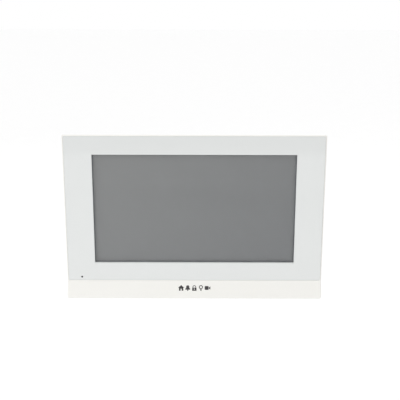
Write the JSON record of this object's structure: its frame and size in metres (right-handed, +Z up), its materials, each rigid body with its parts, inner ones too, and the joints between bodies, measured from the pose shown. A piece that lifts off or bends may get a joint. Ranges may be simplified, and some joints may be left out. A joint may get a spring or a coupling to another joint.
{
  "type": "video intercom monitor",
  "caption": "Wall-hung video intercom monitor: white glass front with a landscape screen, forward-sloping chin, hooked steel wall bracket and rear wiring bay.",
  "frame": {"origin": "middle of the wall bracket's back face, on its centre crossbar, in the wall plane", "axes": "+Z up, +Y into the wall, +X to the right as seen from the room; the screen faces -Y"},
  "size_m": [0.2, 0.0286, 0.13],
  "materials": {
    "white_abs": "warm white ABS, fine moulded grain",
    "white_glass": "gloss cover glass, printed white on its back face, opaque",
    "screen_grey": "liquid crystal cell, switched off",
    "diffuser": "acrylic light guide and diffuser films",
    "black_foam": "closed-cell adhesive foam",
    "black_rubber": "moulded silicone rubber",
    "zinc_steel": "zinc-plated sheet steel and screws",
    "tin_steel": "tin-plated thin steel",
    "green_board": "glass-epoxy board with green solder mask",
    "green_plastic": "green polyamide",
    "black_plastic": "black polyamide",
    "ivory_plastic": "ivory nylon",
    "chip_epoxy": "black moulding epoxy",
    "capacitor_can": "drawn aluminium can",
    "ferrite": "sintered ferrite",
    "amber_film": "amber polyimide film",
    "paper_cone": "black doped paper",
    "lead_jacket": "black PVC lead",
    "blue_button": "blue acetal button"
  },
  "bodies": {
    "wall_bracket": {"wall_bracket": "zinc_steel"},
    "monitor": {"front_housing": "white_abs", "rear_cover": "white_abs", "cover_glass": "white_glass", "lcd_panel": "screen_grey", "light_guide": "diffuser", "glass_gasket": "black_foam", "lcd_gasket": "black_foam", "speaker_gasket": "black_foam", "mic_boot": "black_rubber", "lcd_chassis": "zinc_steel", "cover_screw_1": "zinc_steel", "cover_screw_2": "zinc_steel", "cover_screw_3": "zinc_steel", "cover_screw_4": "zinc_steel", "chassis_screw_1": "zinc_steel", "chassis_screw_2": "zinc_steel", "chassis_screw_3": "zinc_steel", "chassis_screw_4": "zinc_steel", "board_screw_1": "zinc_steel", "board_screw_2": "zinc_steel", "board_screw_3": "zinc_steel", "board_screw_4": "zinc_steel", "speaker_screw_1": "zinc_steel", "speaker_screw_2": "zinc_steel", "lcd_tray": "tin_steel", "shield_can": "tin_steel", "rj45_jack": "tin_steel", "microphone": "tin_steel", "main_board": "green_board", "terminal_header": "green_plastic", "reset_switch": "black_plastic", "speaker_frame": "black_plastic", "relay": "ivory_plastic", "mic_connector": "ivory_plastic", "speaker_connector": "ivory_plastic", "lcd_flex_connector": "ivory_plastic", "touch_flex_connector": "ivory_plastic", "processor_chip": "chip_epoxy", "memory_chip": "chip_epoxy", "lan_transformer": "chip_epoxy", "capacitor_1": "capacitor_can", "capacitor_2": "capacitor_can", "capacitor_3": "capacitor_can", "power_inductor": "ferrite", "speaker_magnet": "ferrite", "lcd_flex": "amber_film", "touch_flex": "amber_film", "speaker_cone": "paper_cone", "mic_lead": "lead_jacket", "speaker_lead": "lead_jacket"},
    "reset_button": {"reset_button": "blue_button"},
    "terminal_plug": {"terminal_plug": "green_plastic", "clamp_screw_1": "zinc_steel", "clamp_screw_2": "zinc_steel", "clamp_screw_3": "zinc_steel", "clamp_screw_4": "zinc_steel", "clamp_screw_5": "zinc_steel", "clamp_screw_6": "zinc_steel"}
  },
  "joints": [
    {"name": "unhook_lift", "type": "slide", "parent": "wall_bracket", "child": "monitor", "axis": [0, 0, 1], "range_m": [0, 0.006]},
    {"name": "reset_press", "type": "slide", "parent": "monitor", "child": "reset_button", "axis": [0, -1, 0], "range_m": [0, 0.0003], "stiffness_N_per_m": 1000},
    {"name": "plug_pull", "type": "slide", "parent": "monitor", "child": "terminal_plug", "axis": [0, 0, -1], "range_m": [0, 0.009]}
  ]
}
